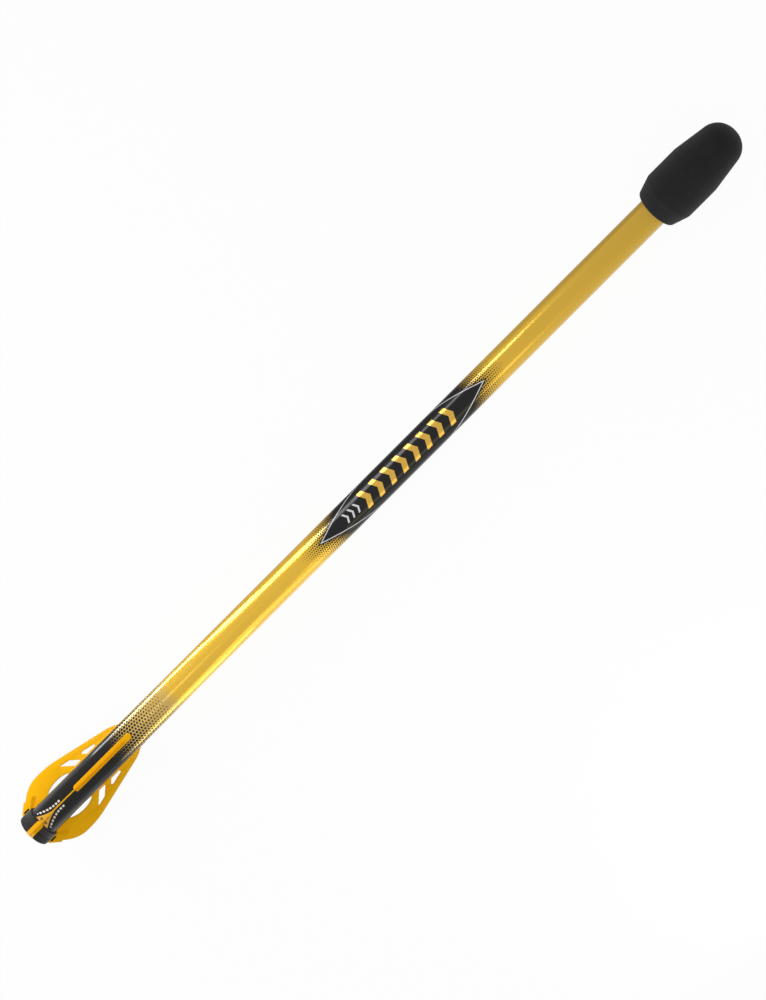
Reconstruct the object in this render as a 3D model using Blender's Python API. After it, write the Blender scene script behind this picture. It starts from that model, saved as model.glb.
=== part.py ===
"""Training javelin with a foam head and three tail fins, lying along +X.

Metres, +Z up. The origin is the middle of the flat tail face, the foam head points to +X,
and one of the three fins stands straight up.
"""

import math

import bmesh
import bpy
from mathutils import Matrix, Vector

# Clearance between pieces that seat on each other

SEAT_GAP = 0.0003

# Shaft tube

TUBE_RADIUS = 0.0150
TUBE_WALL = 0.0016
TUBE_LENGTH = 0.9330

# Tail collar: cap, lock ring and the core that plugs the tube

COLLAR_STEP = 0.0020
CAP_LENGTH = 0.0080
RING_LENGTH = 0.0072
CAP_ROUND = 0.0018
COLLAR_CHAMFER = 0.0005
FLANGE_THICKNESS = 0.0012
BOSS_RADIUS = 0.0080
CORE_LENGTH = 0.0400
CORE_WALL = 0.0025
CORE_WEB = 0.0030
STEM_RADIUS = 0.0050
STEM_SLIT = 0.0012
STEM_SLIT_DEPTH = 0.0130
BARB_STEP = 0.0011
BARB_LENGTH = 0.0040

# Keyed fin roots

RING_WEB = 0.0010
FOOT_HEIGHT = 0.0018
FOOT_OVERHANG = 0.0015
FIN_SETBACK = 0.0012

# Fin plate, measured from the tail face along the shaft and outwards from the tube

FIN_COUNT = 3
FIN_THICKNESS = 0.0010
FIN_TAIL_HEIGHT = 0.0052
FIN_CREST_HEIGHT = 0.0256
FIN_CREST_LENGTH = 0.0272
FIN_REAR_SLOPE = math.radians(45.0)
FIN_FRONT_SLOPE = math.radians(13.4)
FIN_NOSE_SLOPE = math.radians(28.5)
CREST_REAR_ROUND = 0.0300
CREST_FRONT_ROUND = 0.1000
NOSE_ROUND = 0.0500
NOSE_SETBACK = 0.0075

# Rail under the front of each fin, and the arch behind it

RAIL_START = 0.0654
RAIL_LENGTH = 0.0797
RAIL_WIDTH = 0.0066
RAIL_HEIGHT = 0.0010
RAIL_END_ROUND = 0.0026
RAIL_CHAMFER = 0.0005
ARCH_LENGTH = 0.0330
ARCH_HEIGHT = 0.0070

# Two raked slots in each fin

SLOT_SILL_HEIGHT = 0.0038
SLOT_RAKE = math.radians(39.0)
SLOT_CORNER_ROUND = 0.0006
SLOT_STRUT = 0.0085
FIRST_SLOT_OFFSET = 0.0087
FIRST_SLOT_WIDTH = 0.0088
FIRST_SLOT_RIM = 0.0070
SECOND_SLOT_WIDTH = 0.0113
SECOND_SLOT_RIM = 0.0063
SECOND_SLOT_ROUND = 0.0022

# Thick tail block of each fin

BLOCK_THICKNESS = 0.0074
BLOCK_PROUD = 0.0001
BLOCK_TAIL_HEIGHT = 0.0040
BLOCK_KNEE = 0.0091
BLOCK_KNEE_HEIGHT = 0.0127
BLOCK_REACH = 0.0202
BLOCK_REACH_HEIGHT = 0.0112
BLOCK_LEAN = math.radians(44.0)
BLOCK_SLOPE_RUN = 0.0028
WINDOW_OFFSET = 0.0037
WINDOW_SILL = 0.0009
WINDOW_LENGTH = 0.0070
WINDOW_HEIGHT = 0.0020

# Foam head

HEAD_LENGTH = 0.1100
HEAD_RADIUS = 0.0275
HEAD_LIP_RADIUS = 0.0216
HEAD_FLARE_LENGTH = 0.0188
HEAD_BELLY_LENGTH = 0.0365
HEAD_NOSE_RADIUS = 0.0200
HEAD_LIP_ROUND = 0.0030
HEAD_SHOULDER_ROUND = 0.0100
HEAD_WAIST_ROUND = 0.0250
HEAD_NOSE_ROUND = 0.0210

# Socket bonded into the foam, and the plug and weight in the front of the tube

SOCKET_DEPTH = 0.0648
SOCKET_WALL = 0.0020
SOCKET_END_WALL = 0.0030
SOCKET_END_ROUND = 0.0040
RIB_HEIGHT = 0.0008
RIB_RUN = 0.0010
RIB_LAND = 0.0012
RIB_SPACING = 0.0200
RIB_COUNT = 2
PLUG_FLANGE = 0.0015
PLUG_LENGTH = 0.0450
PLUG_FRONT_WALL = 0.0040
PLUG_LEAD = 0.0010
WEIGHT_RADIUS = 0.0090
WEIGHT_LENGTH = 0.0360
WEIGHT_CHAMFER = 0.0008
POCKET_LIP = 0.0005
POCKET_LIP_LENGTH = 0.0012

# Fineness of the round shapes

SEGMENTS = 48
ARCH_STEPS = 20
ARC_SAG = 0.00005
WIDEST_ARC_STEP = math.radians(120.0)
ARC_SHARE_OF_SIDE = 0.49
SHARP_ANGLE = math.radians(32.0)
MERGE_DISTANCE = 0.000001
CUT_MARGIN = 0.0010

# Places along the shaft that follow from the sizes above

collar_radius = TUBE_RADIUS + COLLAR_STEP
cap_front = CAP_LENGTH
ring_rear = cap_front + SEAT_GAP
ring_front = ring_rear + RING_LENGTH
flange_rear = ring_front + SEAT_GAP
flange_front = flange_rear + FLANGE_THICKNESS
tube_rear = flange_front + SEAT_GAP
tube_front = tube_rear + TUBE_LENGTH
plug_flange_rear = tube_front + SEAT_GAP
plug_front = plug_flange_rear + PLUG_FLANGE
socket_floor = plug_front + SEAT_GAP
socket_front = socket_floor + SOCKET_END_WALL
head_rear = socket_floor - SOCKET_DEPTH
head_tip = head_rear + HEAD_LENGTH

# Radii that follow from the sizes above

bore_radius = TUBE_RADIUS - TUBE_WALL
spigot_radius = bore_radius - SEAT_GAP
seat_radius = TUBE_RADIUS + SEAT_GAP
socket_radius = seat_radius + SOCKET_WALL
foot_bottom = BOSS_RADIUS + SEAT_GAP + RING_WEB + SEAT_GAP
foot_top = foot_bottom + FOOT_HEIGHT
keyway_top = foot_top + SEAT_GAP
blade_bottom = keyway_top + SEAT_GAP
stem_bore = STEM_RADIUS + SEAT_GAP
web_front = flange_front + CORE_WEB
pocket_radius = WEIGHT_RADIUS + SEAT_GAP
fin_crest_radius = TUBE_RADIUS + FIN_CREST_HEIGHT


def remove_old_objects():
    """Empty the file's scene before the javelin is built."""
    for old in list(bpy.data.objects):
        bpy.data.objects.remove(old, do_unlink=True)


def make_material(name, colour, roughness, metallic=0.0):
    """Principled material with one plain colour."""
    material = bpy.data.materials.new(name)
    material.use_nodes = True
    shader = material.node_tree.nodes["Principled BSDF"]
    shader.inputs["Base Color"].default_value = (*colour, 1.0)
    shader.inputs["Roughness"].default_value = roughness
    shader.inputs["Metallic"].default_value = metallic
    return material


def add_object(name, mesh, material):
    """Link a mesh into the scene as a named, smoothly shaded object."""
    if not mesh.materials:
        mesh.materials.append(material)
    mesh.shade_smooth()
    mesh.set_sharp_from_angle(angle=SHARP_ANGLE)
    piece = bpy.data.objects.new(name, mesh)
    bpy.context.scene.collection.objects.link(piece)
    return piece


def rounded(corners):
    """Outline through corners of (across, up, radius), with an arc at each corner.

    An arc that would not fit between its neighbours takes the largest radius that does. Two
    arcs on one side share it, and an arc next to a sharp corner may use nearly all of it.
    """
    outline = []
    for index, (across, up, radius) in enumerate(corners):
        corner = Vector((across, up))
        before = corners[index - 1]
        after = corners[(index + 1) % len(corners)]
        to_before = Vector(before[:2]) - corner
        to_after = Vector(after[:2]) - corner
        if radius == 0.0:
            outline.append(corner)
            continue
        half_angle = to_before.angle(to_after) / 2.0
        sides = ((to_before.length, before[2]), (to_after.length, after[2]))
        room = min(side * ARC_SHARE_OF_SIDE * (1.0 if far else 2.0) for side, far in sides)
        reach = min(radius / math.tan(half_angle), room)
        radius = reach * math.tan(half_angle)
        bisector = (to_before.normalized() + to_after.normalized()).normalized()
        centre = corner + bisector * radius / math.sin(half_angle)
        start = corner + to_before.normalized() * reach - centre
        end = corner + to_after.normalized() * reach - centre
        sweep = -start.angle_signed(end)
        flat_enough = 2.0 * math.acos(max(0.0, 1.0 - ARC_SAG / radius))
        steps = max(2, math.ceil(abs(sweep) / min(flat_enough, WIDEST_ARC_STEP)))
        for step in range(steps + 1):
            turn = Matrix.Rotation(sweep * step / steps, 2)
            outline.append(centre + turn @ start)
    return outline


def turned(name, outline, material):
    """Solid made by turning an (along, radius) outline round the shaft's axis."""
    shape = bmesh.new()
    points = [shape.verts.new((along, 0.0, radius)) for along, radius in outline]
    edges = [shape.edges.new((a, b)) for a, b in zip(points, points[1:])]
    closes_on_axis = outline[0][1] == 0.0 and outline[-1][1] == 0.0
    if not closes_on_axis:
        edges.append(shape.edges.new((points[-1], points[0])))
    bmesh.ops.spin(
        shape,
        geom=points + edges,
        axis=(1.0, 0.0, 0.0),
        cent=(0.0, 0.0, 0.0),
        angle=math.tau,
        steps=SEGMENTS,
        use_merge=True,
    )
    bmesh.ops.remove_doubles(shape, verts=shape.verts, dist=MERGE_DISTANCE)
    bmesh.ops.recalc_face_normals(shape, faces=shape.faces)
    mesh = bpy.data.meshes.new(name)
    shape.to_mesh(mesh)
    shape.free()
    return add_object(name, mesh, material)


def turned_cup(name, outline, material):
    """Turned solid whose outline touches the axis between its first and last points."""
    on_axis = [index for index, point in enumerate(outline) if point[1] == 0.0]
    start = on_axis[-1]
    reordered = list(outline[start:]) + list(outline[:start])
    return turned(name, reordered, material)


def box(name, low, high):
    """Box between two corners, for cuts and for plain stretches of a piece."""
    shape = bmesh.new()
    bmesh.ops.create_cube(shape, size=1.0)
    size = Vector(high) - Vector(low)
    middle = (Vector(high) + Vector(low)) / 2.0
    bmesh.ops.scale(shape, vec=size, verts=shape.verts)
    bmesh.ops.translate(shape, vec=middle, verts=shape.verts)
    mesh = bpy.data.meshes.new(name)
    shape.to_mesh(mesh)
    shape.free()
    piece = bpy.data.objects.new(name, mesh)
    bpy.context.scene.collection.objects.link(piece)
    return piece


def hide_cutter(cutter):
    """Mark an object as a cutter that is not part of the javelin."""
    cutter.hide_render = True
    cutter.display_type = "WIRE"


def combine(piece, other, operation):
    """Add an exact Boolean that joins or cuts piece with other."""
    modifier = piece.modifiers.new(operation.lower(), "BOOLEAN")
    modifier.operation = operation
    modifier.solver = "EXACT"
    modifier.object = other
    hide_cutter(other)


def fin_angles():
    """Angles of the fins round the shaft, the first straight up."""
    return [math.tau * index / FIN_COUNT for index in range(FIN_COUNT)]


def cut_at_each_fin(piece, low, high):
    """Cut the same box out of a piece at every fin's place round the shaft."""
    for index, angle in enumerate(fin_angles()):
        cutter = box(f"{piece.name}_cut_{index + 1}", low, high)
        cutter.rotation_euler.x = angle
        combine(piece, cutter, "DIFFERENCE")


# Tail collar


def make_tail_core(material):
    """Plug in the tube's rear end, with a flange and a bored boss behind it."""
    core_front = flange_front + CORE_LENGTH
    hollow = spigot_radius - CORE_WALL
    outline = [
        (ring_rear, stem_bore),
        (ring_rear, BOSS_RADIUS),
        (flange_rear, BOSS_RADIUS),
        (flange_rear, TUBE_RADIUS),
        (flange_front, TUBE_RADIUS),
        (flange_front, spigot_radius),
        (core_front - PLUG_LEAD, spigot_radius),
        (core_front, spigot_radius - PLUG_LEAD),
        (core_front, hollow),
        (web_front, hollow),
        (web_front, stem_bore),
    ]
    return turned("tail_core", outline, material)


def make_lock_ring(material):
    """Front ring of the collar, with a keyway for the foot of each fin."""
    inner = BOSS_RADIUS + SEAT_GAP
    edge = COLLAR_CHAMFER
    outline = [
        (ring_rear, inner),
        (ring_rear, collar_radius - edge),
        (ring_rear + edge, collar_radius),
        (ring_front - edge, collar_radius),
        (ring_front, collar_radius - edge),
        (ring_front, inner),
    ]
    ring = turned("fin_lock_ring", outline, material)
    rear = ring_rear - CUT_MARGIN
    front = ring_front + CUT_MARGIN
    neck = BLOCK_THICKNESS / 2.0 + SEAT_GAP
    foot = neck + FOOT_OVERHANG
    above_foot = (foot_bottom + foot_top) / 2.0
    beyond = collar_radius + CUT_MARGIN
    cut_at_each_fin(ring, (rear, -neck, above_foot), (front, neck, beyond))
    cut_at_each_fin(ring, (rear, -foot, foot_bottom - SEAT_GAP), (front, foot, keyway_top))
    return ring


def make_tail_cap(material):
    """Rear ring and end face of the collar, on a slit stem that snaps through the core."""
    edge = COLLAR_CHAMFER
    barb_rear = web_front + SEAT_GAP
    stem_front = barb_rear + BARB_LENGTH
    barb_radius = stem_bore + BARB_STEP
    rim = rounded([
        (0.0, 0.0, 0.0),
        (0.0, collar_radius, CAP_ROUND),
        (cap_front, collar_radius, 0.0),
    ])[1:-1]
    outline = [Vector((0.0, 0.0)), *rim]
    outline += [
        (cap_front - edge, collar_radius),
        (cap_front, collar_radius - edge),
        (cap_front, STEM_RADIUS),
        (barb_rear, STEM_RADIUS),
        (barb_rear, barb_radius),
        (stem_front, STEM_RADIUS - BARB_STEP),
        (stem_front, 0.0),
    ]
    cap = turned("tail_cap", outline, material)
    neck = BLOCK_THICKNESS / 2.0 + SEAT_GAP
    cut_at_each_fin(
        cap,
        (-CUT_MARGIN, -neck, keyway_top),
        (cap_front + CUT_MARGIN, neck, collar_radius + CUT_MARGIN),
    )
    slit_rear = stem_front - STEM_SLIT_DEPTH
    slit_front = stem_front + CUT_MARGIN
    wide = barb_radius + CUT_MARGIN
    thin = STEM_SLIT / 2.0
    combine(cap, box("stem_slit_flat", (slit_rear, -wide, -thin), (slit_front, wide, thin)), "DIFFERENCE")
    combine(cap, box("stem_slit_tall", (slit_rear, -thin, -wide), (slit_front, thin, wide)), "DIFFERENCE")
    return cap


# Fins


def fin_corners():
    """Corners of the fin's outer edge: tail, crest rear, crest front, nose and nose foot."""
    tail = Vector((FIN_SETBACK, TUBE_RADIUS + FIN_TAIL_HEIGHT))
    climb = fin_crest_radius - tail.y
    crest_rear = Vector((tail.x + climb / math.tan(FIN_REAR_SLOPE), fin_crest_radius))
    crest_front = crest_rear + Vector((FIN_CREST_LENGTH, 0.0))
    foot = Vector((RAIL_START + RAIL_LENGTH - NOSE_SETBACK, TUBE_RADIUS + RAIL_HEIGHT))
    front_fall = math.tan(FIN_FRONT_SLOPE)
    nose_fall = math.tan(FIN_NOSE_SLOPE)
    drop = crest_front.y - foot.y
    run = foot.x - crest_front.x
    nose_run = (drop - front_fall * run) / (nose_fall - front_fall)
    nose = foot + Vector((-nose_run, nose_fall * nose_run))
    return tail, crest_rear, crest_front, nose, foot


def fin_front_radius(along):
    """Radius of the fin's straight front edge at a place along the shaft."""
    crest_front = fin_corners()[2]
    return crest_front.y - (along - crest_front.x) * math.tan(FIN_FRONT_SLOPE)


def arch_points():
    """Half ellipse over the tube, from the front of the arch to its rear."""
    middle = RAIL_START - ARCH_LENGTH / 2.0
    points = []
    for index in range(ARCH_STEPS + 1):
        angle = math.pi * index / ARCH_STEPS
        along = middle + ARCH_LENGTH / 2.0 * math.cos(angle)
        points.append(Vector((along, TUBE_RADIUS + ARCH_HEIGHT * math.sin(angle))))
    return points


def fin_outline():
    """Closed (along, radius) outline of the thin plate, reaching down inside the tube."""
    tail, crest_rear, crest_front, nose, foot = fin_corners()
    buried = TUBE_RADIUS - CUT_MARGIN
    arch_front = RAIL_START
    arch_rear = RAIL_START - ARCH_LENGTH
    edge = rounded([
        (tail.x, blade_bottom, 0.0),
        (tail.x, tail.y, 0.0),
        (crest_rear.x, crest_rear.y, CREST_REAR_ROUND),
        (crest_front.x, crest_front.y, CREST_FRONT_ROUND),
        (nose.x, nose.y, NOSE_ROUND),
        (foot.x, foot.y, 0.0),
    ])
    edge.append(Vector((foot.x, buried)))
    edge.append(Vector((arch_front, buried)))
    edge += arch_points()
    edge.append(Vector((arch_rear, buried)))
    edge.append(Vector((ring_front, buried)))
    edge.append(Vector((ring_front, blade_bottom)))
    return edge


def slot_outline(start, width, edge_rim, front_rake, peak_round):
    """Slot between the sill and a line that runs beside the fin's front edge.

    Its rear edge is raked up to a rounded peak, and its front edge has a rake of its own.
    """
    sill = TUBE_RADIUS + SLOT_SILL_HEIGHT
    fall = math.tan(FIN_FRONT_SLOPE)
    rim = edge_rim / math.cos(FIN_FRONT_SLOPE)

    def top_of(along, rake):
        """Point where the raked line from the sill meets the slot's upper edge."""
        lean = math.tan(rake)
        rise = (fin_front_radius(along) - rim - sill) / (1.0 - fall / lean)
        return along - rise / lean, sill + rise

    front = start + width
    return rounded([
        (start, sill, SLOT_CORNER_ROUND),
        (*top_of(start, SLOT_RAKE), peak_round),
        (*top_of(front, front_rake), SLOT_CORNER_ROUND),
        (front, sill, SLOT_CORNER_ROUND),
    ])


def add_loop(curve, outline):
    """Add a closed straight-sided loop to a flat curve."""
    spline = curve.splines.new("POLY")
    spline.points.add(len(outline) - 1)
    for point, (along, up) in zip(spline.points, outline):
        point.co = (along, up, 0.0, 1.0)
    spline.use_cyclic_u = True


def make_plate():
    """Thin plate of the fin with its arch and its two raked slots."""
    curve = bpy.data.curves.new("fin_plate", "CURVE")
    curve.dimensions = "2D"
    curve.fill_mode = "BOTH"
    curve.extrude = FIN_THICKNESS / 2.0
    add_loop(curve, fin_outline())
    first = RAIL_START + FIRST_SLOT_OFFSET
    second = first + FIRST_SLOT_WIDTH + SLOT_STRUT
    square = math.pi / 2.0
    add_loop(curve, slot_outline(first, FIRST_SLOT_WIDTH, FIRST_SLOT_RIM, SLOT_RAKE, SLOT_CORNER_ROUND))
    add_loop(curve, slot_outline(second, SECOND_SLOT_WIDTH, SECOND_SLOT_RIM, square, SECOND_SLOT_ROUND))
    drawing = bpy.data.objects.new("fin_plate_drawing", curve)
    mesh = bpy.data.meshes.new_from_object(drawing)
    bpy.data.objects.remove(drawing)
    mesh.transform(Matrix.Rotation(math.pi / 2.0, 4, "X"))
    shape = bmesh.new()
    shape.from_mesh(mesh)
    bmesh.ops.remove_doubles(shape, verts=shape.verts, dist=MERGE_DISTANCE)
    bmesh.ops.recalc_face_normals(shape, faces=shape.faces)
    shape.to_mesh(mesh)
    shape.free()
    plate = bpy.data.objects.new("fin_plate", mesh)
    bpy.context.scene.collection.objects.link(plate)
    return plate


def make_block():
    """Thick tail block that fills the collar's slot and slopes into the plate."""
    diagonal_rear = BLOCK_REACH - (BLOCK_REACH_HEIGHT - COLLAR_STEP) / math.tan(BLOCK_LEAN)
    neck_front = flange_rear
    keyed_bottom = (foot_bottom + foot_top) / 2.0
    rear = FIN_SETBACK - BLOCK_PROUD
    knee_radius = TUBE_RADIUS + BLOCK_KNEE_HEIGHT
    reach_radius = TUBE_RADIUS + BLOCK_REACH_HEIGHT
    low = [
        (neck_front, collar_radius),
        (neck_front, keyed_bottom),
        (ring_rear + SEAT_GAP, keyed_bottom),
        (ring_rear + SEAT_GAP, blade_bottom),
        (rear, blade_bottom),
        (rear, TUBE_RADIUS + BLOCK_TAIL_HEIGHT),
    ]
    full = low + [
        (BLOCK_KNEE, knee_radius),
        (BLOCK_REACH, reach_radius),
        (diagonal_rear, collar_radius),
    ]
    faded = low + [
        (BLOCK_KNEE, knee_radius),
        (BLOCK_REACH + BLOCK_SLOPE_RUN, reach_radius),
        (diagonal_rear + BLOCK_SLOPE_RUN, collar_radius),
    ]
    thick = BLOCK_THICKNESS / 2.0
    thin = FIN_THICKNESS / 4.0
    shape = bmesh.new()
    layers = []
    for side, outline in ((-thick, full), (-thin, faded), (thin, faded), (thick, full)):
        layers.append([shape.verts.new((along, side, up)) for along, up in outline])
    shape.faces.new(layers[0])
    shape.faces.new(layers[-1])
    for lower, upper in zip(layers, layers[1:]):
        for index in range(len(lower)):
            after = (index + 1) % len(lower)
            shape.faces.new((lower[index], lower[after], upper[after], upper[index]))
    bmesh.ops.recalc_face_normals(shape, faces=shape.faces)
    mesh = bpy.data.meshes.new("fin_block")
    shape.to_mesh(mesh)
    shape.free()
    block = bpy.data.objects.new("fin_block", mesh)
    bpy.context.scene.collection.objects.link(block)
    return block


def make_rail():
    """Rounded rail that carries the front of the fin along the tube."""
    half = RAIL_WIDTH / 2.0
    front = RAIL_START + RAIL_LENGTH
    plan = rounded([
        (RAIL_START, -half, RAIL_END_ROUND),
        (front, -half, RAIL_END_ROUND),
        (front, half, RAIL_END_ROUND),
        (RAIL_START, half, RAIL_END_ROUND),
    ])
    bottom = TUBE_RADIUS - CUT_MARGIN
    top = TUBE_RADIUS + RAIL_HEIGHT
    shape = bmesh.new()
    base = shape.faces.new([shape.verts.new((along, across, bottom)) for along, across in plan])
    raised = bmesh.ops.extrude_face_region(shape, geom=[base])["geom"]
    lifted = [item for item in raised if isinstance(item, bmesh.types.BMVert)]
    bmesh.ops.translate(shape, vec=(0.0, 0.0, top - bottom), verts=lifted)
    rim = [edge for edge in shape.edges if all(vert in lifted for vert in edge.verts)]
    bmesh.ops.bevel(shape, geom=rim, offset=RAIL_CHAMFER, segments=1, affect="EDGES")
    bmesh.ops.recalc_face_normals(shape, faces=shape.faces)
    mesh = bpy.data.meshes.new("fin_rail")
    shape.to_mesh(mesh)
    shape.free()
    rail = bpy.data.objects.new("fin_rail", mesh)
    bpy.context.scene.collection.objects.link(rail)
    return rail


def make_tube_cutter():
    """Cylinder that gives the fin's underside the tube's curve and trims its root."""
    front = RAIL_START + RAIL_LENGTH + CUT_MARGIN
    rear = flange_rear - SEAT_GAP
    shape = bmesh.new()
    ring = []
    for index in range(SEGMENTS):
        angle = math.tau * index / SEGMENTS
        ring.append(shape.verts.new((rear, seat_radius * math.sin(angle), seat_radius * math.cos(angle))))
    base = shape.faces.new(ring)
    moved = bmesh.ops.extrude_face_region(shape, geom=[base])["geom"]
    ends = [item for item in moved if isinstance(item, bmesh.types.BMVert)]
    bmesh.ops.translate(shape, vec=(front - rear, 0.0, 0.0), verts=ends)
    bmesh.ops.recalc_face_normals(shape, faces=shape.faces)
    mesh = bpy.data.meshes.new("tube_clearance")
    shape.to_mesh(mesh)
    shape.free()
    cutter = bpy.data.objects.new("tube_clearance", mesh)
    bpy.context.scene.collection.objects.link(cutter)
    return cutter


def make_fin_mesh(material):
    """One fin: plate, tail block, keyed foot and rail, joined and trimmed."""
    foot = BLOCK_THICKNESS / 2.0 + FOOT_OVERHANG
    plate = make_plate()
    block = make_block()
    key = box(
        "fin_foot",
        (ring_rear + SEAT_GAP, -foot, foot_bottom),
        (flange_rear, foot, foot_top),
    )
    rail = make_rail()
    window_low = collar_radius + WINDOW_SILL
    window = box(
        "fin_window",
        (WINDOW_OFFSET, -BLOCK_THICKNESS, window_low),
        (WINDOW_OFFSET + WINDOW_LENGTH, BLOCK_THICKNESS, window_low + WINDOW_HEIGHT),
    )
    cutter = make_tube_cutter()
    for added in (block, key, rail):
        combine(plate, added, "UNION")
    for cut in (cutter, window):
        combine(plate, cut, "DIFFERENCE")
    bpy.context.view_layer.update()
    evaluated = plate.evaluated_get(bpy.context.evaluated_depsgraph_get())
    mesh = bpy.data.meshes.new_from_object(evaluated)
    for spent in (plate, block, key, rail, window, cutter):
        bpy.data.objects.remove(spent, do_unlink=True)
    mesh.name = "fin"
    mesh.materials.clear()
    mesh.materials.append(material)
    return mesh


def make_fins(material):
    """Three fins that share one shape, turned round the shaft."""
    mesh = make_fin_mesh(material)
    for index, angle in enumerate(fin_angles()):
        fin = add_object(f"fin_{index + 1}", mesh, material)
        fin.rotation_euler.x = angle


# Shaft and front end


def make_shaft_tube(material):
    """Long thin-walled tube."""
    outline = [
        (tube_rear, bore_radius),
        (tube_rear, TUBE_RADIUS),
        (tube_front, TUBE_RADIUS),
        (tube_front, bore_radius),
    ]
    return turned("shaft_tube", outline, material)


def make_front_plug(material):
    """Plug in the front of the tube, with a lipped pocket for the weight."""
    spigot_rear = tube_front - PLUG_LENGTH
    pocket_floor = plug_front - PLUG_FRONT_WALL
    lip_front = pocket_floor - SEAT_GAP - WEIGHT_LENGTH - SEAT_GAP
    lip_radius = WEIGHT_RADIUS - POCKET_LIP
    lip_rear = lip_front - POCKET_LIP_LENGTH
    outline = [
        (plug_front, 0.0),
        (plug_front, TUBE_RADIUS),
        (plug_flange_rear, TUBE_RADIUS),
        (plug_flange_rear, spigot_radius),
        (spigot_rear + PLUG_LEAD, spigot_radius),
        (spigot_rear, spigot_radius - PLUG_LEAD),
        (spigot_rear, pocket_radius),
        (lip_rear, lip_radius),
        (lip_front, lip_radius),
        (lip_front, pocket_radius),
        (pocket_floor, pocket_radius),
        (pocket_floor, 0.0),
    ]
    return turned("front_plug", outline, material)


def make_nose_weight(material):
    """Steel slug that brings the balance point forward."""
    front = plug_front - PLUG_FRONT_WALL - SEAT_GAP
    rear = front - WEIGHT_LENGTH
    edge = WEIGHT_CHAMFER
    outline = [
        (rear, 0.0),
        (rear, WEIGHT_RADIUS - edge),
        (rear + edge, WEIGHT_RADIUS),
        (front - edge, WEIGHT_RADIUS),
        (front, WEIGHT_RADIUS - edge),
        (front, 0.0),
    ]
    return turned("nose_weight", outline, material)


def socket_profile(gap):
    """Outside of the ribbed socket from its rear edge to its front, grown by a gap."""
    radius = socket_radius + gap
    front = socket_front + gap
    profile = [(head_rear, radius)]
    for index in range(RIB_COUNT):
        middle = head_rear + RIB_SPACING * (index + 1)
        reach = RIB_LAND / 2.0
        profile += [
            (middle - reach - RIB_RUN, radius),
            (middle - reach, radius + RIB_HEIGHT),
            (middle + reach, radius + RIB_HEIGHT),
            (middle + reach + RIB_RUN, radius),
        ]
    corner = rounded([
        (head_rear, radius, 0.0),
        (front, radius, SOCKET_END_ROUND),
        (front, 0.0, 0.0),
    ])[1:]
    return profile + corner


def make_head_socket(material):
    """Closed plastic cup that the tube's front end seats in."""
    outline = socket_profile(0.0)
    outline += [
        (socket_floor, 0.0),
        (socket_floor, seat_radius),
        (head_rear, seat_radius),
    ]
    return turned_cup("head_socket", outline, material)


def make_foam_head(material):
    """Blunt foam head with a flared rear, a tapered front and a bore for the socket."""
    flare_end = head_rear + HEAD_FLARE_LENGTH
    outside = rounded([
        (head_rear, socket_radius, 0.0),
        (head_rear, HEAD_LIP_RADIUS, HEAD_LIP_ROUND),
        (flare_end, HEAD_RADIUS, HEAD_SHOULDER_ROUND),
        (flare_end + HEAD_BELLY_LENGTH, HEAD_RADIUS, HEAD_WAIST_ROUND),
        (head_tip, HEAD_NOSE_RADIUS, HEAD_NOSE_ROUND),
        (head_tip, 0.0, 0.0),
    ])[1:]
    inside = socket_profile(SEAT_GAP)[::-1]
    return turned_cup("foam_head", outside + inside, material)


def main():
    """Build every piece of the javelin."""
    remove_old_objects()
    gold = make_material("gold_tube", (0.62, 0.36, 0.05), 0.22, 0.6)
    foam = make_material("black_foam", (0.022, 0.022, 0.023), 0.85)
    black = make_material("black_plastic", (0.028, 0.028, 0.030), 0.5)
    orange = make_material("orange_plastic", (0.99, 0.50, 0.012), 0.42)
    grey = make_material("grey_plastic", (0.12, 0.12, 0.12), 0.55)
    steel = make_material("bright_steel", (0.55, 0.55, 0.56), 0.3, 1.0)
    make_shaft_tube(gold)
    make_tail_core(black)
    make_lock_ring(black)
    make_tail_cap(black)
    make_fins(orange)
    make_front_plug(grey)
    make_nose_weight(steel)
    make_head_socket(black)
    make_foam_head(foam)


if __name__ == "__main__":
    main()
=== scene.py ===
"""Dressed model of a soft-headed training javelin with three tail fins.

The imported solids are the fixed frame. The tube, foam head, collar and fins get finer pieces in
their place, every surface gets a procedural finish, and a pale stage and camera are added.
Metres, +Z up, the javelin lies along +X with its foam head towards +X.
"""

import math

import bmesh
import bpy
from bpy.props import FloatProperty, FloatVectorProperty, IntProperty, PointerProperty
from mathutils import Matrix, Vector


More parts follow.
